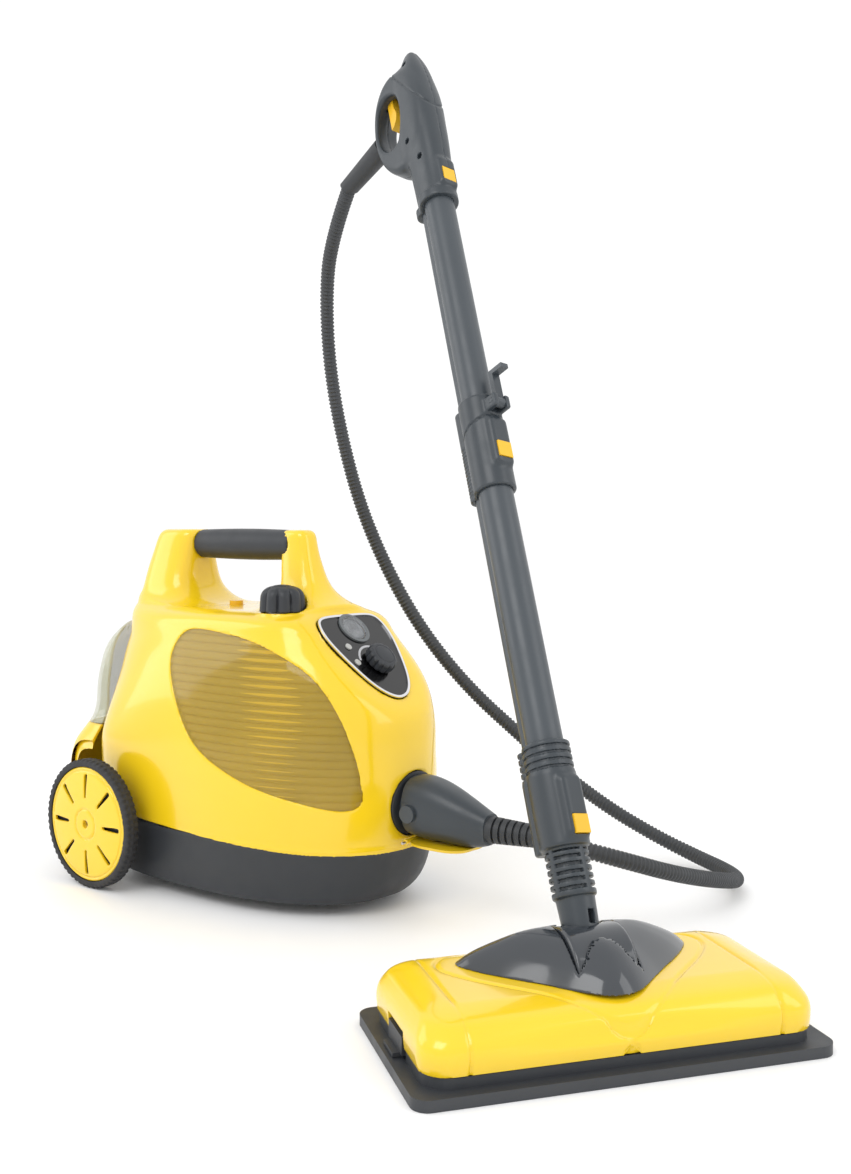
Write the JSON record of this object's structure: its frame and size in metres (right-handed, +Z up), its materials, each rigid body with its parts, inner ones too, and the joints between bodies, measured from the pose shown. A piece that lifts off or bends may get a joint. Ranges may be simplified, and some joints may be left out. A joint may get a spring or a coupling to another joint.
{
  "type": "steam cleaner",
  "caption": "Wheeled yellow canister steam cleaner with a carry handle, side windows, a ribbed steam hose and a wand standing on a wide floor head.",
  "frame": {"origin": "on the floor under the middle of the bounding box of the machine, wand and floor head, hose left out", "axes": "+Z up, +X from the machine's rear to its nose, +Y to the machine's left"},
  "size_m": [0.8539, 0.6153, 0.822],
  "materials": {
    "yellow_shell": "gloss, bright yellow",
    "dark_base": "matte charcoal",
    "dark_satin": "satin slate grey",
    "panel_black": "high gloss black",
    "chrome_trim": "bright",
    "amber_window": "tinted clear plastic, smooth",
    "clear_cover": "pale green-grey clear plastic",
    "clear_lens": "clear dome",
    "gauge_grey": "grey gauge case",
    "lamp_lens": "small lamp lenses",
    "yellow_key": "satin yellow",
    "tyre_black": "matte tread",
    "steel": "bright steel",
    "boiler_metal": "cast and machined",
    "insulation": "needled glass-fibre blanket",
    "copper_pipe": "drawn tube",
    "board_green": "printed circuit board",
    "hose_rubber": "ribbed dark grey",
    "sleeve_rubber": "soft dark grey"
  },
  "bodies": {
    "machine": {"base_tub": "dark_base", "upper_housing": "yellow_shell", "carry_grip": "dark_base", "side_window_left": "amber_window", "side_window_right": "amber_window", "rib_panel_left": "yellow_shell", "rib_panel_right": "yellow_shell", "control_fascia": "panel_black", "fascia_trim": "chrome_trim", "gauge_lens": "clear_lens", "gauge_body": "gauge_grey", "indicator_lamps": "lamp_lens", "circuit_board": "board_green", "boiler_tank": "boiler_metal", "boiler_jacket": "insulation", "heating_element": "steel", "filler_neck": "boiler_metal", "steam_valve": "steel", "steam_pipe": "copper_pipe", "outlet_socket": "dark_base", "cord_gland": "sleeve_rubber", "storage_liner": "dark_base", "rear_axle": "steel", "pivot_pins": "steel", "screws": "steel", "hose_plug": "dark_satin", "plug_strain_relief": "sleeve_rubber", "steam_hose": "hose_rubber", "sole_plate": "dark_base", "head_skirt": "dark_base", "head_cover": "yellow_shell", "head_hub": "dark_satin"},
    "wheel_l": {"wheel_left": "yellow_shell", "tyre_left": "tyre_black"},
    "wheel_r": {"wheel_right": "yellow_shell", "tyre_right": "tyre_black"},
    "caster": {"caster_fork": "dark_base"},
    "caster_roller": {"caster_wheel": "dark_base"},
    "pressure_plug": {"cap_plug": "steel"},
    "cap": {"filler_cap": "dark_base"},
    "knob": {"steam_knob": "dark_base"},
    "power_key": {"power_button": "yellow_key"},
    "plug_key": {"plug_latch": "dark_satin"},
    "storage_door": {"rear_cover": "clear_cover"},
    "flap": {"outlet_flap": "yellow_shell"},
    "neck": {"neck_yoke": "dark_satin"},
    "wand": {"wand_adapter": "dark_satin", "lower_tube": "dark_satin", "upper_tube": "dark_satin", "wand_coupler": "dark_satin", "grip_left": "dark_satin", "grip_right": "dark_satin", "hose_tail": "sleeve_rubber"},
    "key_low": {"button_low": "yellow_key"},
    "key_middle": {"button_middle": "yellow_key"},
    "key_top": {"button_top": "yellow_key"},
    "trigger_lever": {"trigger": "yellow_key"},
    "hook": {"hook_lever": "dark_satin"},
    "clip_l": {"cloth_clip_left": "dark_base"},
    "clip_r": {"cloth_clip_right": "dark_base"}
  },
  "joints": [
    {"name": "wheel_left_roll", "type": "hinge", "parent": "machine", "child": "wheel_l", "pos_m": [-0.3009, 0.2095, 0.0644], "axis": [0, 1, 0], "continuous": true},
    {"name": "wheel_right_roll", "type": "hinge", "parent": "machine", "child": "wheel_r", "pos_m": [-0.3009, -0.0405, 0.0644], "axis": [0, 1, 0], "continuous": true},
    {"name": "caster_swivel", "type": "hinge", "parent": "machine", "child": "caster", "pos_m": [-0.0859, 0.0845, 0.026], "axis": [0, 0, 1], "continuous": true},
    {"name": "caster_roll", "type": "hinge", "parent": "caster", "child": "caster_roller", "pos_m": [-0.0939, 0.0845, 0.012], "axis": [0, 1, 0], "continuous": true},
    {"name": "cap_lift", "type": "slide", "parent": "machine", "child": "pressure_plug", "axis": [0, 0, 1], "range_m": [0, 0.006]},
    {"name": "cap_turn", "type": "hinge", "parent": "pressure_plug", "child": "cap", "pos_m": [-0.1189, 0.0395, 0.29], "axis": [0, 0, 1], "range_deg": [0, 720]},
    {"name": "steam_dial", "type": "hinge", "parent": "machine", "child": "knob", "pos_m": [-0.03483, 0.0845, 0.23556], "axis": [0.7181, 0, 0.6959], "range_deg": [0, 270]},
    {"name": "power_press", "type": "slide", "parent": "machine", "child": "power_key", "axis": [0, 0, -1], "range_m": [0, 0.002], "stiffness_N_per_m": 400},
    {"name": "plug_latch_press", "type": "slide", "parent": "machine", "child": "plug_key", "axis": [0, 1, 0], "range_m": [0, 0.002], "stiffness_N_per_m": 400},
    {"name": "storage_door_hinge", "type": "hinge", "parent": "machine", "child": "storage_door", "pos_m": [-0.4169, 0.0845, 0.0845], "axis": [0, -1, 0], "range_deg": [0, 60]},
    {"name": "flap_hinge", "type": "hinge", "parent": "machine", "child": "flap", "pos_m": [0.0126, 0.0845, 0.072], "axis": [0, 1, 0], "range_deg": [0, 12], "stiffness_Nm_per_rad": 0.02, "springref_deg": -28.65},
    {"name": "neck_tilt", "type": "hinge", "parent": "machine", "child": "neck", "pos_m": [0.2797, -0.0603, 0.045], "axis": [0.5835, 0.8121, 0], "range_deg": [-14, 27], "deforming": ["steam_hose"]},
    {"name": "wand_twist", "type": "hinge", "parent": "neck", "child": "wand", "pos_m": [0.26426, -0.05027, 0.08051], "axis": [-0.386, 0.2506, 0.8878], "range_deg": [-35, 35]},
    {"name": "button_low_press", "type": "slide", "parent": "wand", "child": "key_low", "axis": [-0.8864, 0.1658, -0.4322], "range_m": [0, 0.0025], "stiffness_N_per_m": 400},
    {"name": "button_middle_press", "type": "slide", "parent": "wand", "child": "key_middle", "axis": [-0.8864, 0.1658, -0.4322], "range_m": [0, 0.0025], "stiffness_N_per_m": 400},
    {"name": "button_top_press", "type": "slide", "parent": "wand", "child": "key_top", "axis": [-0.8864, 0.1658, -0.4322], "range_m": [0, 0.0025], "stiffness_N_per_m": 400},
    {"name": "trigger_pull", "type": "hinge", "parent": "wand", "child": "trigger_lever", "pos_m": [-0.07657, 0.15713, 0.78051], "axis": [-0.2556, -0.9538, 0.1582], "range_deg": [0, 12], "stiffness_Nm_per_rad": 0.6},
    {"name": "hook_swing", "type": "hinge", "parent": "wand", "child": "hook", "pos_m": [0.12266, 0.05152, 0.46554], "axis": [0.2556, 0.9538, -0.1582], "range_deg": [0, 60]},
    {"name": "clip_left_squeeze", "type": "hinge", "parent": "machine", "child": "clip_l", "pos_m": [0.19917, -0.17237, 0.024], "axis": [-0.8121, 0.5835, 0], "range_deg": [0, 20], "stiffness_Nm_per_rad": 0.2},
    {"name": "clip_right_squeeze", "type": "hinge", "parent": "machine", "child": "clip_r", "pos_m": [0.36023, 0.05177, 0.024], "axis": [0.8121, -0.5835, 0], "range_deg": [0, 20], "stiffness_Nm_per_rad": 0.2}
  ],
  "couplings": [
    {"joint": "cap_turn", "follows": "cap_lift", "rad_per_m": 2094.4}
  ]
}
